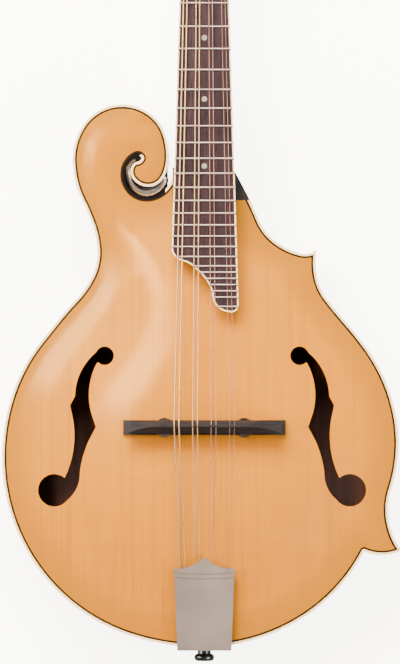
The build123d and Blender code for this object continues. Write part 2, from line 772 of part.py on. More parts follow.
def post(spot):
    """A tuning post with its string hole, its gear and the gear's slotted screw."""
    low = GEAR_LEVEL - 1.5
    with BuildPart() as turned:
        add(discs(HEAD.offset(low + 3), [spot], POST_RADIUS, POST_TOP - low - 3))
        crown = turned.faces().sort_by(Axis(HEAD.origin, HEAD.z_dir))[-1]
        fillet(crown.edges(), 1.0)
        with BuildSketch(HEAD.offset(WAIST_LOW)):
            with Locations(spot):
                Circle(POST_RADIUS)
                Circle(WAIST_RADIUS, mode=Mode.SUBTRACT)
        extrude(amount=WAIST_HEIGHT, mode=Mode.SUBTRACT)
        with BuildSketch(HEAD.offset(low)):
            with Locations(spot):
                Circle(GEAR_RADIUS)
            with Locations(spot):
                with PolarLocations(GEAR_RADIUS, GEAR_TEETH):
                    Circle(0.55, mode=Mode.SUBTRACT)
        extrude(amount=3)
        add(discs(HEAD.offset(low - 1.2), [spot], 2.2, 1.2))
        with BuildSketch(HEAD.offset(low - 1.2)):
            with Locations(spot):
                Rectangle(4.6, 0.6)
        extrude(amount=0.6, mode=Mode.SUBTRACT)
        hole = HEAD.from_local_coords((spot[0], spot[1] - 5, WAIST_LOW + 1.2))
        with BuildSketch(Plane(hole, z_dir=HEAD.y_dir)):
            Circle(0.6)
        extrude(amount=10, mode=Mode.SUBTRACT)
    return turned.part


def worm(spot):
    """A threaded worm on its shaft, which runs out past the headstock's edge."""
    side = math.copysign(1, spot[0])
    centre = HEAD.from_local_coords((0, spot[1] + WORM_OFFSET, GEAR_LEVEL))
    thread = [(POST_X - 3.4, SHAFT_RADIUS)]
    for turn in range(3):
        at = POST_X - 1.5 * WORM_PITCH + turn * WORM_PITCH
        thread += [(at, 1.6), (at + 0.3 * WORM_PITCH, WORM_RADIUS)]
        thread += [(at + 0.7 * WORM_PITCH, WORM_RADIUS), (at + WORM_PITCH, 1.6)]
    thread.append((POST_X + 3.4, SHAFT_RADIUS))
    outline = [(12, 0), (12, SHAFT_RADIUS), thread[0]]
    for point in thread[1:]:
        if point != outline[-1]:
            outline.append(point)
    outline += [(SHAFT_END, SHAFT_RADIUS), (SHAFT_END, 0)]
    with BuildPart() as turned:
        with BuildSketch(Plane(centre, x_dir=(side, 0, 0), z_dir=HEAD.z_dir)):
            Polygon(*outline, align=None)
        revolve(axis=Axis(centre, (side, 0, 0)))
    return turned.part


def button(spot):
    """An oval tuner button with a collar, pushed onto the shaft's end."""
    side = math.copysign(1, spot[0])

    def across(x):
        origin = HEAD.from_local_coords((side * x, spot[1] + WORM_OFFSET, GEAR_LEVEL))
        return Plane(origin, x_dir=HEAD.y_dir, z_dir=(side, 0, 0))

    with BuildPart() as knob:
        with BuildSketch(across(BUTTON_START)):
            Ellipse(7.6, 4.4)
        extrude(amount=12.5)
        fillet(knob.edges().filter_by(GeomType.ELLIPSE), 2.0)
        with BuildSketch(across(BUTTON_START - 1.6)):
            Circle(2.7)
        extrude(amount=3)
        with BuildSketch(across(BUTTON_START - 2)):
            Circle(SHAFT_RADIUS)
        extrude(amount=SHAFT_END - BUTTON_START + 2.2, mode=Mode.SUBTRACT)
    return knob.part


for number, spot in enumerate(POSTS, 1):
    save(post(spot), f"post_{number}")
    save(worm(spot), f"worm_{number}")
    save(button(spot), f"button_{number}")

# ---- Bridge ----
WHEELS = [(-WHEEL_X, BRIDGE_Y), (WHEEL_X, BRIDGE_Y)]
bridge_studs = discs(Plane.XY.offset(STUD_LOW), WHEELS, STUD_DIAMETER / 2, STUD_TOP - STUD_LOW)
save(bridge_studs, "bridge_studs")
BRIDGE_FRONT = Plane.XZ.offset(-BRIDGE_Y - BRIDGE_DEPTH / 2)

with BuildPart() as bridge_base:
    with BuildSketch(BRIDGE_FRONT):
        with BuildLine():
            end = BRIDGE_LENGTH / 2
            Polyline((-end, 79.5), (-end, 66), (end, 66), (end, 79.5))
            ThreePointArc((end, 79.5), (end - 7, 82.4), (end - 16, BASE_TOP))
            Line((end - 16, BASE_TOP), (16 - end, BASE_TOP))
            ThreePointArc((16 - end, BASE_TOP), (7 - end, 82.4), (-end, 79.5))
        make_face()
    extrude(amount=BRIDGE_DEPTH)
    with BuildSketch(Plane.XY.offset(66)):
        with Locations((0, BRIDGE_Y)):
            Rectangle(40, BRIDGE_DEPTH)
    extrude(amount=TOP_CROWN + 1.5 - 66, mode=Mode.SUBTRACT)
    add(UNDER_TOP, mode=Mode.SUBTRACT)
    add(bridge_studs, mode=Mode.SUBTRACT)
save(bridge_base.part, "bridge_base")

with BuildPart() as bridge_saddle:
    with BuildSketch(BRIDGE_FRONT):
        end = BRIDGE_LENGTH / 2 - 2.6
        with BuildLine():
            Polyline((-end, 91.5), (-end, SADDLE_FOOT), (end, SADDLE_FOOT), (end, 91.5))
            ThreePointArc((end, 91.5), (end - 9, 94.4), (24, SADDLE_TOP + 0.1))
            Line((24, SADDLE_TOP + 0.1), (-24, SADDLE_TOP + 0.1))
            ThreePointArc((-24, SADDLE_TOP + 0.1), (9 - end, 94.4), (-end, 91.5))
        make_face()
    extrude(amount=BRIDGE_DEPTH - 1)
    with BuildSketch(Plane.YZ.offset(-60)):
        Polygon((-8, 89), (-1.2, SADDLE_TOP + 0.4), (-8, SADDLE_TOP + 2), align=None)
        Polygon((3, 92), (1.0, SADDLE_TOP + 0.4), (3, SADDLE_TOP + 2), align=None)
    extrude(amount=120, mode=Mode.SUBTRACT)
    add(discs(Plane.XY.offset(SADDLE_FOOT - 1), WHEELS, STUD_DIAMETER / 2 + 0.15, 5.2),
        mode=Mode.SUBTRACT)
    add(grooves, mode=Mode.SUBTRACT)
save(bridge_saddle.part, "bridge_saddle")

for name, spot in zip(("thumbwheel_bass", "thumbwheel_treble"), WHEELS):
    with BuildPart() as wheel:
        with BuildSketch(Plane.XY.offset(SADDLE_FOOT - WHEEL_THICKNESS)):
            with Locations(spot):
                Circle(WHEEL_DIAMETER / 2)
                Circle(STUD_DIAMETER / 2 + 0.05, mode=Mode.SUBTRACT)
                with PolarLocations(WHEEL_DIAMETER / 2 + 0.1, 36):
                    Circle(0.3, mode=Mode.SUBTRACT)
        extrude(amount=WHEEL_THICKNESS)
    save(wheel.part, name)

# ---- Tailpiece and end pin ----
FLOOR = -5.0  # tailpiece floor, below the cover's top
with BuildPart() as tailpiece_base:
    with BuildSketch(COVER.offset(FLOOR)):
        with Locations((0, (1 + FLOOR_FRONT) / 2)):
            Rectangle(31, FLOOR_FRONT - 1)
    extrude(amount=1)
    with BuildSketch(COVER.offset(FLOOR)):
        with Locations((0, FLOOR_FRONT - 0.5)):
            Rectangle(31, 1)
    extrude(amount=1.5)
    with BuildSketch(COVER.offset(FLOOR + 1)):
        with Locations(*[(x, HOOK_AT) for x in TAIL_XS]):
            Rectangle(1.2, 2)
    extrude(amount=2.2)
    with BuildSketch(Plane.XZ.offset(FLANGE_BACK)):
        with Locations((0, (FLANGE_LOW + FLANGE_TOP) / 2)):
            Rectangle(26, FLANGE_TOP - FLANGE_LOW)
    extrude(amount=1)
    add(pin_hole.part, mode=Mode.SUBTRACT)
    add(tailpiece_screws, mode=Mode.SUBTRACT)
save(tailpiece_base.part, "tailpiece_base")


def cover_outline():
    with BuildSketch() as outline:
        with BuildLine():
            Polyline((0, 0), (17.0, 0), (18.7, 47.5), (19.4, 52.6), (15.5, 52.4))
            ThreePointArc((15.5, 52.4), (7.5, 54.6), (0, 60.1))
            mirror(about=Plane.YZ)
        make_face()
    return outline.sketch


with BuildPart() as tailpiece_cover:
    with BuildSketch(COVER.offset(-COVER_SHEET)):
        add(cover_outline())
    extrude(amount=COVER_SHEET)
    with BuildSketch(COVER.offset(-4.6)):
        for side in (-1, 1):
            Polygon(*[(side * x, y) for x, y in ((17, 0), (18.7, 48), (17.8, 48), (16.1, 0))],
                    align=None)
    extrude(amount=4)
    with BuildSketch(COVER.offset(-3.6)):
        with Locations((0, 0.45)):
            Rectangle(33, 0.9)
    extrude(amount=3)
    for level in (46.4, 49.4):
        with BuildSketch(COVER):
            with BuildLine():
                ThreePointArc((-18, level + 0.9), (0, level), (18, level + 0.9))
                Line((18, level + 0.9), (18, level + 1.8))
                ThreePointArc((18, level + 1.8), (0, level + 0.9), (-18, level + 1.8))
                Line((-18, level + 1.8), (-18, level + 0.9))
            make_face()
        extrude(amount=0.4)
save(tailpiece_cover.part, "tailpiece_cover")

with BuildPart() as end_pin:
    with BuildSketch(Plane.XY.offset(PIN_LEVEL)):
        with BuildLine():
            seat = -FLANGE_BACK - 1
            Polyline((0, -118), (PIN_SHANK - 0.7, -118), (PIN_SHANK - 0.05, seat), (4.6, seat))
            Polyline((4.6, seat), (4.6, seat - 1), (PIN_NECK, seat - 1.4))
            Line((PIN_NECK, seat - 1.4), (PIN_NECK, seat - 3.6))
            ThreePointArc((PIN_NECK, seat - 3.6), (6.15, seat - 5.0), (1.6, seat - 6.3))
            Polyline((1.6, seat - 6.3), (0, seat - 7.3), (0, -118))
        make_face()
    revolve(axis=Axis((0, 0, PIN_LEVEL), (0, 1, 0)))
save(end_pin.part, "end_pin")
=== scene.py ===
import json
import math

import bmesh
import bpy
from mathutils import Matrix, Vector


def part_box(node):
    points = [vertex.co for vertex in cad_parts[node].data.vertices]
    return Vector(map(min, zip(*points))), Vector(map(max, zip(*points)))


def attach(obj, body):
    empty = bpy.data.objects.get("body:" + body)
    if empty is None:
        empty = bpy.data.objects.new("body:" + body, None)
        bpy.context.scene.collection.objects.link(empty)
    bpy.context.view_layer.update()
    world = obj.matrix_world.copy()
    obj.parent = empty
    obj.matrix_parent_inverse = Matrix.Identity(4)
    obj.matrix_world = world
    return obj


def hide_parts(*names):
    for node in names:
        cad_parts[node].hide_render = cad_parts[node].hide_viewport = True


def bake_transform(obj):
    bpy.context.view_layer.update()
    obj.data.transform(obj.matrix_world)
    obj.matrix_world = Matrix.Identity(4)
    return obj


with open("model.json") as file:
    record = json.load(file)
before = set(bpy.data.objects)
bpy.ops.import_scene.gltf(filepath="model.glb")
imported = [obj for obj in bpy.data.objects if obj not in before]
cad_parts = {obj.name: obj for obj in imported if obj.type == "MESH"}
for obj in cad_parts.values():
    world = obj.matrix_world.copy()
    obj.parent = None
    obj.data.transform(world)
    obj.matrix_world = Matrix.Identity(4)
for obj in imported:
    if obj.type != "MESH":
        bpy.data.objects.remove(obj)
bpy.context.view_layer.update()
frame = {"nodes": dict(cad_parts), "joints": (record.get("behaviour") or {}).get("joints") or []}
JOINTS = {joint["name"]: joint for joint in frame["joints"]}
HEAD_UP = Vector(JOINTS["post_1_turn"]["axis"])  # out of the headstock's face
HEAD_OUT = Vector((0, HEAD_UP.z, -HEAD_UP.y))  # along the headstock's face, away from the body

# ---- Sizes in metres, as the CAD part has them ----
# The strings' diameters by course, and the course whose string each post holds
GAUGES = {"g": 0.0009, "d": 0.00066, "a": 0.0004, "e": 0.00028}
POST_COURSE = {1: "g", 2: "g", 3: "d", 4: "d", 8: "a", 7: "a", 6: "e", 5: "e"}
WOUND = "gd"  # the courses with a bronze winding
WAIST_LOW = 0.004  # a post's waist starts this far above the headstock's face
WAIST_RADIUS = 0.0022
POST_HOLE = 0.0012  # the string hole, above the start of the waist
WORM_PITCH = 0.001885
WORM_ROOT = 0.0016
WORM_CREST = 0.0024
SHAFT_RADIUS = 0.0014
THREAD_HALF = 0.0034  # the thread reaches this far along the shaft, either side of its post

# ---- Sizes in metres of the details that only the visual has ----
TOP_EDGE = (0.0629, 0.0658)  # the top plate darkens between these heights, towards its edge (partly painted shade)
SLOT_LEFT = (-0.053, -0.052)  # within these bounds, round the slot, the edge binding turns black
SLOT_RIGHT = (-0.0246, -0.0243)
SLOT_BOTTOM = (0.1390, 0.1393)
SLOT_TOP = (0.1705, 0.1708)
CURL = (-0.0345, 0.1575)  # middle of the scroll's inner curl, whose binding stays cream
CURL_RADIUS = 0.0125
CURL_FADE = 0.0002
BEAD_LINE = [  # x, y and radius of the bead along the slot
    (-0.0243, 0.1560, 0.0030),
    (-0.0262, 0.1513, 0.0034),
    (-0.0302, 0.1466, 0.0037),
    (-0.0362, 0.1448, 0.0038),
    (-0.0423, 0.1465, 0.0035),
    (-0.0463, 0.1516, 0.0031),
    (-0.0482, 0.1570, 0.0026),
    (-0.0478, 0.1618, 0.0021),
    (-0.0455, 0.1652, 0.0017),
    (-0.0428, 0.1666, 0.0013),
]
BEAD_LEVEL = 0.0472  # height of its middle line
BEAD_FLATNESS = 0.36  # its height as a share of its width
BEAD_SIDES = 24
WINDING_TURNS = 3
WINDING_STEPS = 24  # points in a turn
WINDING_MIDDLE = WAIST_LOW + 0.002  # above the headstock's face
TURN_DROP = 1.05  # from one turn down to the next, in string gauges
STUB = (0.0021, 0.0034, 0.0046)  # the string's end beyond its hole, from the post's middle
WORM_SIDES = 32
THREAD_RINGS = 64
CREST_END = 0.16  # the thread's flank, in turns from the middle of the crest
FLANK_END = 0.34
THREAD_FADE = 0.0006  # the thread grows to its full height over this length
RING_GAP = 0.0002  # from the bare shaft's last ring to the thread
CHAMFER = 0.0003

# ---- Floor and camera, in metres ----
FLOOR_HALF = 6  # from its middle to each edge
FLOOR_DROP = 0.0006  # just below the lowest point of the instrument
CENTRE = (-0.0027, 0.0577)  # the middle of the picture
SEEN_HEIGHT = 0.4163  # from its bottom to its top, at TOP_LEVEL
TOP_LEVEL = 0.07  # about the height of the top plate
DISTANCE = 6.0  # from there up to the camera
SENSOR = 24  # millimetres


# ---- Materials ----
def linear(red, green, blue):
    """A screen colour of 0 to 255 as the linear value a shader takes."""

    def one(value):
        value /= 255
        return value / 12.92 if value <= 0.04045 else ((value + 0.055) / 1.055) ** 2.4

    return one(red), one(green), one(blue), 1


def paint(red, green, blue):
    """A colour given as the share of light it sends back."""
    return red, green, blue, 1


class Shade:
    """A Principled material whose colour, roughness and relief come from procedural nodes."""

    # The Mix node's sockets for colours, which share their names with those for numbers
    MIX_FIRST = 6
    MIX_SECOND = 7
    MIX_RESULT = 2

    def __init__(self, name, metallic=0.0, coat=0.0, coat_roughness=0.06, specular=0.5):
        self.material = bpy.data.materials.new(name)
        self.material.use_nodes = True
        tree = self.material.node_tree
        self.nodes, self.links = tree.nodes, tree.links
        self.nodes.clear()
        self.shader = self.nodes.new("ShaderNodeBsdfPrincipled")
        out = self.nodes.new("ShaderNodeOutputMaterial")
        self.links.new(self.shader.outputs["BSDF"], out.inputs["Surface"])
        self.coord = self.nodes.new("ShaderNodeTexCoord")
        self.place = self.coord.outputs["Object"]
        self.shader.inputs["Metallic"].default_value = metallic
        self.shader.inputs["Coat Weight"].default_value = coat
        self.shader.inputs["Coat Roughness"].default_value = coat_roughness
        self.shader.inputs["Specular IOR Level"].default_value = specular

    def feed(self, socket, value):
        """Link or set a socket, as the value is a node's output or a plain value."""
        if hasattr(value, "is_output"):
            self.links.new(value, socket)
        else:
            socket.default_value = value

    def noise(self, scale, detail=3.0, roughness=0.5, distortion=0.0):
        """Noise stretched by a different scale (per metre) along each axis."""
        mapping = self.nodes.new("ShaderNodeMapping")
        mapping.inputs["Scale"].default_value = scale
        self.links.new(self.place, mapping.inputs["Vector"])
        texture = self.nodes.new("ShaderNodeTexNoise")
        texture.inputs["Scale"].default_value = 1.0
        texture.inputs["Detail"].default_value = detail
        texture.inputs["Roughness"].default_value = roughness
        texture.inputs["Distortion"].default_value = distortion
        self.links.new(mapping.outputs["Vector"], texture.inputs["Vector"])
        return texture.outputs["Fac"]

    def bands(self, axis, scale):
        """Even bands across an axis."""
        texture = self.nodes.new("ShaderNodeTexWave")
        texture.bands_direction = axis
        texture.inputs["Scale"].default_value = scale
        texture.inputs["Distortion"].default_value = 0.0
        self.links.new(self.place, texture.inputs["Vector"])
        return texture.outputs["Fac"]

    def split(self, vector, axis):
        node = self.nodes.new("ShaderNodeSeparateXYZ")
        self.links.new(vector, node.inputs["Vector"])
        return node.outputs[axis]

    def along(self, axis):
        """The place along X, Y or Z, in metres."""
        return self.split(self.place, axis)

    def facing(self, axis):
        """How far the surface faces along X, Y or Z of its own object, from -1 to 1."""
        return self.split(self.coord.outputs["Normal"], axis)

    def flat_facing(self, axis):
        """How far the face itself, its shading aside, faces along X, Y or Z."""
        geometry = self.nodes.new("ShaderNodeNewGeometry")
        return self.split(geometry.outputs["True Normal"], axis)

    def away_from(self, centre):
        """How far the place is from an upright line at centre, in metres."""
        squares = []
        for axis, middle in zip("XY", centre):
            apart = self.math("ABSOLUTE", self.math("SUBTRACT", self.along(axis), middle))
            squares.append(self.math("POWER", apart, 2.0))
        return self.math("SQRT", self.math("ADD", *squares))

    def remap(self, value, low, high, to_low=0.0, to_high=1.0):
        """The range from low to high stretched onto another range, and kept within it."""
        node = self.nodes.new("ShaderNodeMapRange")
        node.inputs["From Min"].default_value = low
        node.inputs["From Max"].default_value = high
        node.inputs["To Min"].default_value = to_low
        node.inputs["To Max"].default_value = to_high
        self.links.new(value, node.inputs["Value"])
        return node.outputs["Result"]

    def math(self, operation, first, second=0.0):
        """One sum on two values, or on the first alone where the operation takes one."""
        node = self.nodes.new("ShaderNodeMath")
        node.operation = operation
        self.feed(node.inputs[0], first)
        self.feed(node.inputs[1], second)
        return node.outputs[0]

    def ramp(self, value, *stops):
        """Colours that change with the value; a stop is a place from 0 to 1 and its colour."""
        node = self.nodes.new("ShaderNodeValToRGB")
        elements = node.color_ramp.elements
        while len(elements) < len(stops):
            elements.new(0.5)
        for element, (at, colour) in zip(elements, stops):
            element.position = at
            element.color = colour
        self.links.new(value, node.inputs["Fac"])
        return node.outputs["Color"]

    def mix(self, share, first, second, blend="MIX"):
        """The first colour with a share of the second blended into it."""
        node = self.nodes.new("ShaderNodeMix")
        node.data_type = "RGBA"
        node.blend_type = blend
        self.feed(node.inputs["Factor"], share)
        self.feed(node.inputs[self.MIX_FIRST], first)
        self.feed(node.inputs[self.MIX_SECOND], second)
        return node.outputs[self.MIX_RESULT]

    def relief(self, height, depth, strength):
        """Raised and sunk by up to depth metres."""
        node = self.nodes.new("ShaderNodeBump")
        node.inputs["Strength"].default_value = strength
        node.inputs["Distance"].default_value = depth
        self.links.new(height, node.inputs["Height"])
        self.links.new(node.outputs["Normal"], self.shader.inputs["Normal"])

    def colour(self, value):
        self.feed(self.shader.inputs["Base Color"], value)

    def rough(self, value):
        self.feed(self.shader.inputs["Roughness"], value)

    def coat(self, value):
        self.feed(self.shader.inputs["Coat Weight"], value)

    def coat_rough(self, value):
        self.feed(self.shader.inputs["Coat Roughness"], value)


def spruce():
    """Amber lacquered spruce: narrow rings along the strings, faint silk across them."""
    shade = Shade("spruce_top", coat=0.4, specular=0.03)
    rings = shade.noise((300, 2.2, 40), 4, 0.55)
    rings = shade.ramp(
        rings,
        (0.34, paint(0.370, 0.125, 0)),
        (0.46, paint(0.415, 0.143, 0)),
        (0.56, paint(0.438, 0.153, 0)),
        (0.70, paint(0.392, 0.134, 0)),
    )
    fibres = shade.noise((1900, 16, 300), 2)
    fibres = shade.ramp(fibres, (0.3, linear(242, 242, 240)), (0.7, linear(255, 255, 255)))
    wood = shade.mix(0.7, rings, fibres, "MULTIPLY")
    silk = shade.noise((26, 210, 40), 3, 0.6, 0.4)
    silk = shade.ramp(silk, (0.35, linear(246, 242, 238)), (0.65, linear(255, 255, 255)))
    wood = shade.mix(0.6, wood, silk, "MULTIPLY")
    cloud = shade.noise((7, 5, 9), 2)
    wood = shade.mix(shade.remap(cloud, 0.35, 0.7, 0, 0.22), wood, paint(0.47, 0.178, 0))
    # darker towards the rim: partly the top's own deeper tone there, partly painted shade of the
    # carved slope
    edge = shade.remap(shade.along("Z"), *TOP_EDGE, 0.9, 0)
    wood = shade.mix(edge, wood, paint(0.275, 0.099, 0))
    # painted shade: the cut walls of the f-holes turn near black and stand in for the shade inside
    # the holes
    painted_wall_shade = shade.remap(shade.math("ABSOLUTE", shade.flat_facing("Z")), 0.5, 0.7, 1, 0)
    wood = shade.mix(painted_wall_shade, wood, paint(0.020, 0.009, 0.006))
    shade.colour(wood)
    shade.rough(shade.remap(shade.noise((60, 40, 60), 4), 0.3, 0.7, 0.42, 0.52))
    shade.coat_rough(shade.remap(shade.noise((14, 9, 14), 3), 0.3, 0.7, 0.14, 0.18))
    return shade.material


def black_lacquer(name, raw_inside=False):
    """Glossy black lacquer over wood, with faint smudges; the plate's inner side is bare."""
    shade = Shade(name, coat=1.0)
    tone = shade.ramp(
        shade.noise((90, 12, 90), 4),
        (0.3, paint(0.00196, 0.00167, 0.0017)),
        (0.7, paint(0.00474, 0.00365, 0.00352)),
    )
    smudge = shade.remap(shade.noise((35, 22, 35), 5, 0.6), 0.35, 0.75, 0.16, 0.36)
    if raw_inside:
        bare = shade.ramp(
            shade.noise((260, 5, 80), 4),
            (0.35, paint(0.060, 0.021, 0.014)),
            (0.65, paint(0.085, 0.032, 0.020)),
        )
        inner = shade.remap(shade.facing("Z"), 0.2, 0.4)
        tone = shade.mix(inner, tone, bare)
        smudge = shade.math("MAXIMUM", smudge, shade.math("MULTIPLY", inner, 0.75))
        shade.coat(shade.math("SUBTRACT", 1.0, inner))
    shade.colour(tone)
    shade.rough(smudge)
    shade.coat_rough(shade.remap(shade.noise((50, 50, 50), 4), 0.3, 0.7, 0.03, 0.09))
    shade.relief(shade.noise((300, 60, 300), 3), 0.00002, 0.3)
    return shade.material


def bare_wood():
    """Unfinished maple inside the body."""
    shade = Shade("bare_maple")
    grain = shade.noise((300, 9, 120), 4, 0.6)
    shade.colour(
        shade.ramp(
            grain,
            (0.32, paint(0.135, 0.0625, 0.0211)),
            (0.5, paint(0.267, 0.124, 0.0244)),
            (0.7, paint(0.396, 0.194, 0.0293)),
        )
    )
    shade.rough(shade.remap(grain, 0.3, 0.7, 0.6, 0.8))
    shade.relief(shade.noise((1200, 40, 900), 3), 0.00006, 0.5)
    return shade.material


def cream(name, slot_black=False):
    """Cream binding, a little yellower in patches; it can turn black round the scroll's slot."""
    shade = Shade(name, coat=0.5, coat_roughness=0.12)
    patches = shade.noise((60, 60, 60), 4)
    tone = shade.ramp(patches, (0.3, paint(0.74, 0.51, 0.22)), (0.6, paint(0.80, 0.58, 0.28)))
    lines = shade.noise((1100, 180, 500), 2)
    lines = shade.ramp(lines, (0.3, linear(238, 234, 228)), (0.6, linear(255, 255, 255)))
    tone = shade.mix(0.6, tone, lines, "MULTIPLY")
    if slot_black:
        x, y = shade.along("X"), shade.along("Y")
        inside = shade.remap(x, *SLOT_RIGHT, 1, 0)
        for bound in (
            shade.remap(x, *SLOT_LEFT),
            shade.remap(y, *SLOT_BOTTOM),
            shade.remap(y, *SLOT_TOP, 1, 0),
            shade.remap(shade.away_from(CURL), CURL_RADIUS, CURL_RADIUS + CURL_FADE),
        ):
            inside = shade.math("MULTIPLY", inside, bound)
        tone = shade.mix(inside, tone, paint(0.004, 0.003, 0.003))
        shine = shade.remap(inside, 0, 1, 0.5, 0.02)
        shade.coat(shine)
        shade.feed(shade.shader.inputs["Specular IOR Level"], shine)
    shade.colour(tone)
    shade.rough(shade.remap(shade.noise((200, 200, 200), 3), 0.3, 0.7, 0.28, 0.42))
    return shade.material


def purfling():
    """The dark brown line inside the edge binding."""
    shade = Shade("brown_purfling", specular=0.05)
    speck = shade.noise((160, 160, 160), 3)
    dark, light = paint(0.006, 0.0035, 0.0014), paint(0.014, 0.008, 0.003)
    shade.colour(shade.ramp(speck, (0.3, dark), (0.7, light)))
    shade.rough(shade.remap(shade.noise((300, 300, 300), 2), 0.3, 0.7, 0.35, 0.5))
    return shade.material


def rosewood():
    """Dark purple-brown fingerboard with open pores and lighter streaks."""
    shade = Shade("rosewood", specular=0.1)
    streaks = shade.ramp(
        shade.noise((380, 7, 160), 5, 0.6, 0.6),
        (0.3, paint(0.0078, 0.0034, 0.0045)),
        (0.5, paint(0.0160, 0.0072, 0.0096)),
        (0.72, paint(0.0290, 0.0140, 0.0160)),
    )
    pores = shade.noise((2100, 70, 600), 2)
    dark = shade.ramp(pores, (0.36, linear(120, 104, 104)), (0.44, linear(255, 255, 255)))
    shade.colour(shade.mix(0.9, streaks, dark, "MULTIPLY"))
    shade.rough(shade.remap(pores, 0.3, 0.6, 0.62, 0.42))
    depth = shade.ramp(pores, (0.38, paint(0, 0, 0)), (0.46, paint(1, 1, 1)))
    shade.relief(depth, 0.00008, 0.5)
    return shade.material


def metal(name, low, high, roughness, brushed=(80, 80, 80), depth=0.0):
    """A metal whose tone and polish vary; brushed sets the direction of its fine lines."""
    shade = Shade(name, metallic=1.0)
    lines = shade.noise(brushed, 4, 0.6)
    shade.colour(shade.ramp(lines, (0.3, linear(*low)), (0.7, linear(*high))))
    smudge = shade.remap(shade.noise((120, 120, 120), 4, 0.6), 0.3, 0.75, *roughness)
    shade.rough(shade.math("ADD", smudge, shade.remap(lines, 0.3, 0.7, -0.03, 0.03)))
    if depth:
        shade.relief(lines, depth, 0.6)
    return shade.material


def wound_string():
    """Bronze winding over a steel core: fine ridges around the string."""
    shade = Shade("bronze_winding", metallic=0.85)
    ridges = shade.bands("Y", 620)
    tone = shade.ramp(ridges, (0.15, linear(132, 92, 54)), (0.6, linear(200, 160, 110)))
    wear = shade.noise((70, 70, 70), 4)
    shade.colour(shade.mix(shade.remap(wear, 0.4, 0.7, 0, 0.35), tone, linear(190, 156, 120)))
    shade.rough(shade.remap(wear, 0.3, 0.7, 0.24, 0.4))
    shade.relief(ridges, 0.00006, 0.7)
    return shade.material


def satin_tailpiece():
    """Warm grey satin metal, finely blasted, slightly mottled by handling."""
    shade = Shade("satin_tailpiece", metallic=0.2, specular=0.3)
    grain = shade.noise((900, 900, 900), 3)
    mottle = shade.noise((38, 26, 38), 4, 0.55)
    dark, light = paint(0.136, 0.111, 0.092), paint(0.188, 0.151, 0.123)
    tone = shade.ramp(mottle, (0.3, dark), (0.7, light))
    fine = shade.ramp(grain, (0.3, linear(236, 236, 236)), (0.7, linear(255, 255, 255)))
    shade.colour(shade.mix(0.7, tone, fine, "MULTIPLY"))
    shade.rough(shade.remap(mottle, 0.3, 0.7, 0.42, 0.54))
    shade.relief(grain, 0.00003, 0.4)
    return shade.material


def pearl(name, warm, light=1.0):
    """Mother-of-pearl in soft swirls, dimmed by light."""
    shade = Shade(name, coat=0.6, coat_roughness=0.1)
    swirl = shade.noise((240, 320, 280), 5, 0.65, 2.2)
    shade.colour(
        shade.ramp(
            swirl,
            (0.32, paint(*warm)),
            (0.5, paint(0.72 * light, 0.64 * light, 0.50 * light)),
            (0.62, paint(0.55 * light, 0.57 * light, 0.52 * light)),
            (0.74, paint(0.85 * light, 0.78 * light, 0.66 * light)),
        )
    )
    shade.rough(shade.remap(swirl, 0.3, 0.7, 0.2, 0.36))
    return shade.material


def bone():
    """The nut's yellowish bone."""
    shade = Shade("bone", coat=0.3, coat_roughness=0.2)
    grain = shade.noise((700, 120, 500), 3)
    shade.colour(shade.ramp(grain, (0.3, paint(0.62, 0.50, 0.30)), (0.7, paint(0.80, 0.70, 0.48))))
    shade.rough(shade.remap(grain, 0.3, 0.7, 0.34, 0.48))
    return shade.material


def ebony(name, low, high):
    """Dark close-grained wood with an oiled sheen."""
    shade = Shade(name, coat=0.02, coat_roughness=0.4, specular=0.12)
    grain = shade.noise((60, 900, 500), 4, 0.6)
    shade.colour(shade.ramp(grain, (0.32, paint(*low)), (0.7, paint(*high))))
    shade.rough(shade.remap(shade.noise((160, 160, 160), 4), 0.3, 0.7, 0.36, 0.54))
    shade.relief(grain, 0.00004, 0.4)
    return shade.material


def black_plastic():
    """Glossy black plastic with the finest of speckles."""
    shade = Shade("black_plastic", coat=0.6, coat_roughness=0.08)
    speck = shade.noise((500, 500, 500), 3)
    dark, light = paint(0.00215, 0.00199, 0.00199), paint(0.0057, 0.00496, 0.00474)
    shade.colour(shade.ramp(speck, (0.3, dark), (0.7, light)))
    shade.rough(shade.remap(shade.noise((90, 90, 90), 4), 0.3, 0.7, 0.2, 0.38))
    return shade.material


def slot_gloss():
    """Thick black gloss that mirrors the lights as strongly as metal."""
    shade = Shade("slot_gloss", specular=1.0, coat=1.0, coat_roughness=0.12)
    shade.shader.inputs["IOR"].default_value = 3.0
    shade.shader.inputs["Coat IOR"].default_value = 3.0
    speck = shade.noise((200, 200, 200), 3)
    dark, light = paint(0.003, 0.003, 0.003), paint(0.008, 0.007, 0.007)
    shade.colour(shade.ramp(speck, (0.3, dark), (0.7, light)))
    shade.rough(shade.remap(shade.noise((400, 400, 400), 3), 0.3, 0.7, 0.12, 0.2))
    return shade.material


def glowing_paper():
    """Off-white paper that gives off a soft light of its own."""
    shade = Shade("floor_paper")
    clouds = shade.noise((3, 3, 3), 3)
    shade.colour(shade.ramp(clouds, (0.3, linear(244, 244, 240)), (0.7, linear(250, 250, 247))))
    shade.rough(shade.remap(shade.noise((40, 40, 40), 3), 0.3, 0.7, 0.85, 0.95))
    glow = shade.noise((2, 2, 2), 2)
    glow = shade.ramp(glow, (0.3, paint(0.96, 0.955, 0.86)), (0.7, paint(1, 0.99, 0.9)))
    shade.feed(shade.shader.inputs["Emission Color"], glow)
    shade.shader.inputs["Emission Strength"].default_value = 6.0
    return shade.material


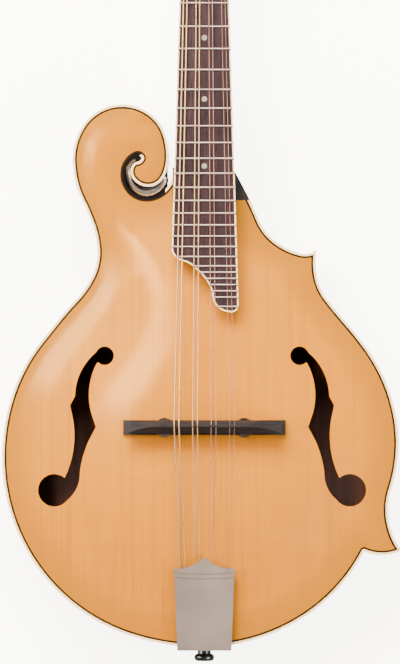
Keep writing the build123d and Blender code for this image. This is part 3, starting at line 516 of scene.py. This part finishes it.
SPRUCE = spruce()
LACQUER = black_lacquer("black_lacquer")
BACK = black_lacquer("black_lacquer_back", raw_inside=True)
BARE = bare_wood()
CREAM = cream("cream_binding")
EDGE = cream("cream_edge_binding", slot_black=True)
PURFLING = purfling()
ROSEWOOD = rosewood()
FRET_WIRE = metal("fret_wire", (122, 106, 100), (164, 146, 138), (0.3, 0.46), (60, 900, 300))
STEEL = metal("plain_steel", (150, 146, 142), (206, 200, 194), (0.24, 0.42), (200, 60, 200))
BRASS = metal("brass", (176, 136, 72), (220, 184, 112), (0.26, 0.44), (300, 300, 300))
NICKEL = metal("nickel", (176, 172, 166), (222, 219, 214), (0.12, 0.32), (160, 600, 160), 0.00001)
WHEEL = metal("thumbwheel_nickel", (52, 50, 50), (96, 92, 90), (0.2, 0.36))
SCREWS = metal("screw_nickel", (150, 146, 140), (214, 210, 204), (0.2, 0.4), (900, 900, 900))
PLAIN_STRING = metal("plain_string", (130, 98, 88), (166, 134, 122), (0.26, 0.4), (40, 30, 40))
BRONZE = wound_string()
TAILPIECE = satin_tailpiece()
DOTS = pearl("pearl_dots", (0.10, 0.09, 0.088), 0.28)
BUTTONS = pearl("pearloid_buttons", (0.61, 0.48, 0.26))
BONE = bone()
SADDLE = ebony("ebony_saddle", (0.0072, 0.006, 0.0062), (0.0191, 0.0163, 0.0164))
BASE = ebony("ebony_base", (0.0085, 0.0052, 0.004), (0.0243, 0.0143, 0.0102))
BLACK = black_plastic()

TUNERS = range(1, 9)
PAINT = [
    (SPRUCE, ["top_plate"]),
    (LACQUER, ["rim", "neck", "neck_shoulder_cap", "head_veneer", "head_block"]),
    (BACK, ["back_plate"]),
    (BARE, ["tone_bars", "tail_block", "linings"]),
    (CREAM, ["fingerboard_binding"]),
    (EDGE, ["body_binding"]),
    (PURFLING, ["body_purfling"]),
    (ROSEWOOD, ["fingerboard"]),
    (FRET_WIRE, ["frets"]),
    (DOTS, ["position_dots"]),
    (BONE, ["nut"]),
    (BLACK, ["truss_rod_cover", "end_pin"]),
    (STEEL, ["truss_rod", "bridge_studs"]),
    (BRASS, ["truss_rod_nut"]),
    (SCREWS, ["headstock_screws", "tailpiece_screws"]),
    (NICKEL, ["tuner_plates", "tuner_bushings"]),
    (NICKEL, [f"post_{n}" for n in TUNERS] + [f"worm_{n}" for n in TUNERS]),
    (BUTTONS, [f"button_{n}" for n in TUNERS]),
    (SADDLE, ["bridge_saddle"]),
    (BASE, ["bridge_base"]),
    (WHEEL, ["thumbwheel_bass", "thumbwheel_treble"]),
    (TAILPIECE, ["tailpiece_base", "tailpiece_cover"]),
    (BRONZE, ["strings_g", "strings_d"]),
    (PLAIN_STRING, ["strings_a", "strings_e"]),
]
for material, names in PAINT:
    for name in names:
        node = frame["nodes"][name]
        node.data.materials.clear()
        node.data.materials.append(material)


# ---- Shapes ----
def mesh_object(name, points, faces, material, smooth=True):
    """A new object of one material, shaded smooth or flat."""
    data = bpy.data.meshes.new(name)
    data.from_pydata([tuple(point) for point in points], [], faces)
    data.materials.append(material)
    for polygon in data.polygons:
        polygon.use_smooth = smooth
    obj = bpy.data.objects.new(name, data)
    bpy.context.scene.collection.objects.link(obj)
    return obj


def skin(rings, sides):
    """Faces over rings of points that follow each other, with both ends closed."""
    faces = []
    for start in range(0, (rings - 1) * sides, sides):
        for k in range(sides):
            a, b = start + k, start + (k + 1) % sides
            faces.append((a, b, b + sides, a + sides))
    faces.append(tuple(reversed(range(sides))))
    faces.append(tuple(range((rings - 1) * sides, rings * sides)))
    return faces


def tube(path, radii, sides=8):
    """Points and faces of a round bar along a path, with a radius for each of its points."""
    points = []
    normal = (path[1] - path[0]).normalized().orthogonal().normalized()
    for i, (at, radius) in enumerate(zip(path, radii)):
        forward = (path[min(i + 1, len(path) - 1)] - path[max(i - 1, 0)]).normalized()
        normal = (normal - forward * normal.dot(forward)).normalized()
        side = forward.cross(normal)
        for k in range(sides):
            turn = 2 * math.pi * k / sides
            points.append(at + radius * (math.cos(turn) * normal + math.sin(turn) * side))
    return points, skin(len(path), sides)


# ---- Rounded black fillet along the scroll's slot ----
def slot_bead():
    """A flattened bead that lies along the slot and tapers towards both of its ends."""
    path = [Vector((x, y, BEAD_LEVEL)) for x, y, radius in BEAD_LINE]
    points, faces = tube(path, [radius for x, y, radius in BEAD_LINE], BEAD_SIDES)
    for point in points:
        point.z = BEAD_LEVEL + (point.z - BEAD_LEVEL) * BEAD_FLATNESS
    bead = mesh_object("slot_fillet", points, faces, slot_gloss())
    smooth = bead.modifiers.new("smooth", "SUBSURF")
    smooth.levels = smooth.render_levels = 2
    return bead


bead = slot_bead()
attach(bead, "instrument")


# ---- Strings split at the saddle ----
def half_string(course, part, nut_side):
    """A course's strings on one side of the saddle, as an object of their own in place of the CAD
    strings.
    """
    node = frame["nodes"][f"strings_{course}"]
    data = node.data.copy()
    data.transform(node.matrix_world)
    mesh = bmesh.new()
    mesh.from_mesh(data)
    others = [face for face in mesh.faces if (face.calc_center_median().y > 0) != nut_side]
    bmesh.ops.delete(mesh, geom=others, context="FACES")
    mesh.to_mesh(data)
    mesh.free()
    obj = bpy.data.objects.new(f"{part}_strings_{course}", data)
    bpy.context.scene.collection.objects.link(obj)
    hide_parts(f"strings_{course}")
    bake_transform(obj)


for course in GAUGES:
    half_string(course, "speaking", nut_side=True)
    half_string(course, "tail", nut_side=False)


# ---- String windings on the posts ----
def string_winding(n, course):
    """Turns of string down the waist of post n, and the string's end beyond its hole."""
    spot = Vector(JOINTS[f"post_{n}_turn"]["pos_m"])
    gauge = GAUGES[course]
    inward = Vector((1 if spot.x < 0 else -1, 0, 0))
    coil = []
    for step in range(WINDING_TURNS * WINDING_STEPS + 1):
        turns = step / WINDING_STEPS
        angle = turns * 2 * math.pi
        across = inward * math.cos(angle) - HEAD_OUT * math.sin(angle)
        height = WINDING_MIDDLE + gauge * (WINDING_TURNS / 2 - TURN_DROP * turns)
        coil.append(spot + across * (WAIST_RADIUS + gauge / 2) + HEAD_UP * height)
    hole = spot + HEAD_UP * (WAIST_LOW + POST_HOLE)
    stub = [hole + HEAD_OUT * reach for reach in STUB]
    points, faces = [], []
    for path in (coil, stub):
        some, shapes = tube(path, [gauge / 2] * len(path))
        faces += [tuple(len(points) + i for i in face) for face in shapes]
        points += some
    return mesh_object(f"winding_{n}", points, faces, BRONZE if course in WOUND else PLAIN_STRING)


for n, course in POST_COURSE.items():
    winding = string_winding(n, course)
    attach(winding, f"string_post_{n}")


# ---- Worm shafts with a true screw thread ----
def thread_radius(offset, angle, side):
    """The worm's radius at an angle round it and an offset along it from its post."""
    turns = offset / WORM_PITCH - side * (angle / (2 * math.pi) - 0.5)
    off_crest = abs(turns % 1 - 0.5)
    rise = min(1, max(0, (FLANK_END - off_crest) / (FLANK_END - CREST_END)))
    fade = max(0, min(1, (THREAD_HALF - abs(offset)) / THREAD_FADE))
    return SHAFT_RADIUS + fade * (WORM_ROOT - SHAFT_RADIUS + (WORM_CREST - WORM_ROOT) * rise)


def worm(n):
    """A key's shaft from its inner to its outer end, with the thread beside its post."""
    centre = Vector(JOINTS[f"key_{n}_turn"]["pos_m"])
    post_x = abs(JOINTS[f"key_{n}_turn"]["pos_m"][0])
    side = 1 if centre.x > 0 else -1
    centre.x = 0
    low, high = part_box(f"worm_{n}")
    start, end = sorted((abs(low.x), abs(high.x)))
    first, last = post_x - THREAD_HALF, post_x + THREAD_HALF
    rings = [start, start + CHAMFER, first - RING_GAP]
    rings += [first + (last - first) * i / THREAD_RINGS for i in range(THREAD_RINGS + 1)]
    rings += [last + RING_GAP, end - CHAMFER, end]
    points = []
    for along in rings:
        for k in range(WORM_SIDES):
            angle = 2 * math.pi * k / WORM_SIDES
            radius = thread_radius(along - post_x, angle, side)
            if along in (start, end):
                radius -= CHAMFER
            out = math.cos(angle) * HEAD_OUT + math.sin(angle) * HEAD_UP
            points.append(centre + Vector((side * along, 0, 0)) + radius * out)
    faces = skin(len(rings), WORM_SIDES)
    if side < 0:
        faces = [tuple(reversed(face)) for face in faces]
    return mesh_object(f"worm_screw_{n}", points, faces, NICKEL)


for n in TUNERS:
    screw = worm(n)
    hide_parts(f"worm_{n}")
    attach(screw, f"key_{n}")

# ---- Floor ----
corners = [
    (-FLOOR_HALF, -FLOOR_HALF, 0),
    (FLOOR_HALF, -FLOOR_HALF, 0),
    (FLOOR_HALF, FLOOR_HALF, 0),
    (-FLOOR_HALF, FLOOR_HALF, 0),
]
floor = mesh_object("floor", corners, [(0, 1, 2, 3)], glowing_paper(), smooth=False)
floor.location.z = -FLOOR_DROP
floor.visible_glossy = False  # the glowing floor neither lights nor mirrors in the object
floor.visible_diffuse = False

# ---- Light ----
world = bpy.data.worlds.new("studio")
world.use_nodes = True
world.node_tree.nodes["Background"].inputs["Color"].default_value = (1, 0.99, 0.97, 1)
world.node_tree.nodes["Background"].inputs["Strength"].default_value = 0.35
bpy.context.scene.world = world


def softbox(name, place, aim, size, power, tint=(1, 1, 1)):
    """A rectangular light at a place, turned to its aim; size in metres, power in watts."""
    data = bpy.data.lights.new(name, "AREA")
    data.shape = "RECTANGLE"
    data.size, data.size_y = size
    data.energy = power
    data.color = tint
    lamp = bpy.data.objects.new(name, data)
    lamp.location = place
    lamp.rotation_euler = (Vector(aim) - Vector(place)).to_track_quat("-Z", "Y").to_euler()
    bpy.context.scene.collection.objects.link(lamp)


BODY = (0, 0.05, 0.05)  # where the lights without an aim of their own point
AMBER = (1, 0.40, 0.04)
PEACH = (1, 0.56, 0.22)
softbox("key", (-0.32, 1.12, 1.28), (-0.02, 0.05, 0.05), size=(1.3, 0.7), power=128)
softbox("window", (-0.05, 0.92, 2.0), BODY, size=(1.9, 0.5), power=20, tint=AMBER)
softbox("edge", (-0.64, 0.42, 2.0), (-0.05, 0.1, 0.05), size=(0.30, 0.5), power=38, tint=PEACH)
softbox("left", (-1.9, 0.1, 1.15), (-0.02, 0.0, 0.05), size=(0.9, 1.6), power=60)
softbox("fill", (1.7, -0.9, 1.6), BODY, size=(1.5, 1.5), power=80)

# ---- Camera: straight above the body, far enough away to look flat ----
camera_data = bpy.data.cameras.new("camera")
camera_data.sensor_fit = "VERTICAL"
camera_data.sensor_height = SENSOR
camera_data.lens = SENSOR * DISTANCE / SEEN_HEIGHT
camera_data.clip_end = 50
camera = bpy.data.objects.new("camera", camera_data)
camera.location = (*CENTRE, TOP_LEVEL + DISTANCE)
bpy.context.scene.collection.objects.link(camera)
bpy.context.scene.camera = camera
